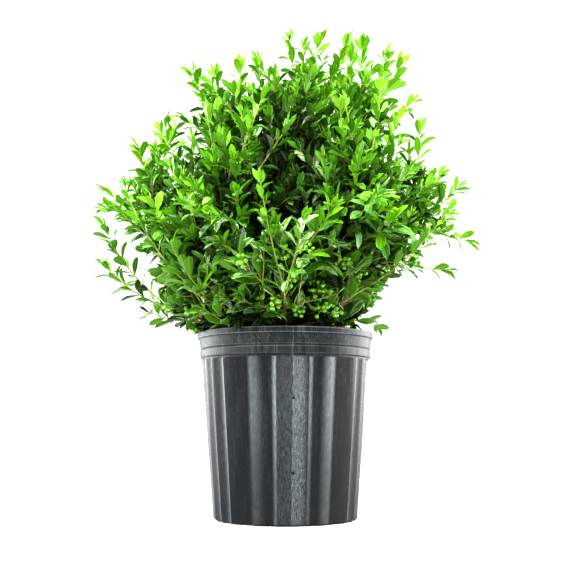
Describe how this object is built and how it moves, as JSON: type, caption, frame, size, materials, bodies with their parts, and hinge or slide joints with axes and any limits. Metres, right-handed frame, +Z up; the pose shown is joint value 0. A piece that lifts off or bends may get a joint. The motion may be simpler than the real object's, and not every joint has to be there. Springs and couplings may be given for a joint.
{
  "type": "potted holly shrub",
  "caption": "Dense rounded evergreen holly shrub with small pointed leaves and clusters of green berries, growing in a tapered ribbed black nursery pot.",
  "frame": {"origin": "middle of the pot's flat foot, on the floor", "axes": "+Z up along the pot's axis, -Y towards the side that the picture shows, +X to its right"},
  "size_m": [0.6233, 0.6207, 0.8003],
  "materials": {
    "pot": "satin, scuffed black",
    "potting_mix": "rough, crumbly, dark brown",
    "bark": "thin tan bark with small bumps",
    "foliage": "smooth, slightly glossy green"
  },
  "bodies": {
    "root": {"bough_low_1": "bark", "bough_low_2": "bark", "bough_low_3": "bark", "bough_low_4": "bark", "bough_low_5": "bark", "bough_low_6": "bark", "bough_low_7": "bark", "bough_low_8": "bark", "bough_middle_1": "bark", "bough_middle_2": "bark", "bough_middle_3": "bark", "bough_middle_4": "bark", "bough_middle_5": "bark", "bough_middle_6": "bark", "bough_upper_1": "bark", "bough_upper_2": "bark", "bough_upper_3": "bark", "bough_upper_4": "bark", "bough_upper_5": "bark", "foliage_low_1": "foliage", "foliage_low_2": "foliage", "foliage_low_3": "foliage", "foliage_low_4": "foliage", "foliage_low_5": "foliage", "foliage_low_6": "foliage", "foliage_low_7": "foliage", "foliage_low_8": "foliage", "foliage_middle_1": "foliage", "foliage_middle_2": "foliage", "foliage_middle_3": "foliage", "foliage_middle_4": "foliage", "foliage_middle_5": "foliage", "foliage_middle_6": "foliage", "foliage_top": "foliage", "foliage_upper_1": "foliage", "foliage_upper_2": "foliage", "foliage_upper_3": "foliage", "foliage_upper_4": "foliage", "foliage_upper_5": "foliage", "pot": "pot", "potting_mix": "potting_mix", "trunk": "bark"}
  },
  "joints": []
}
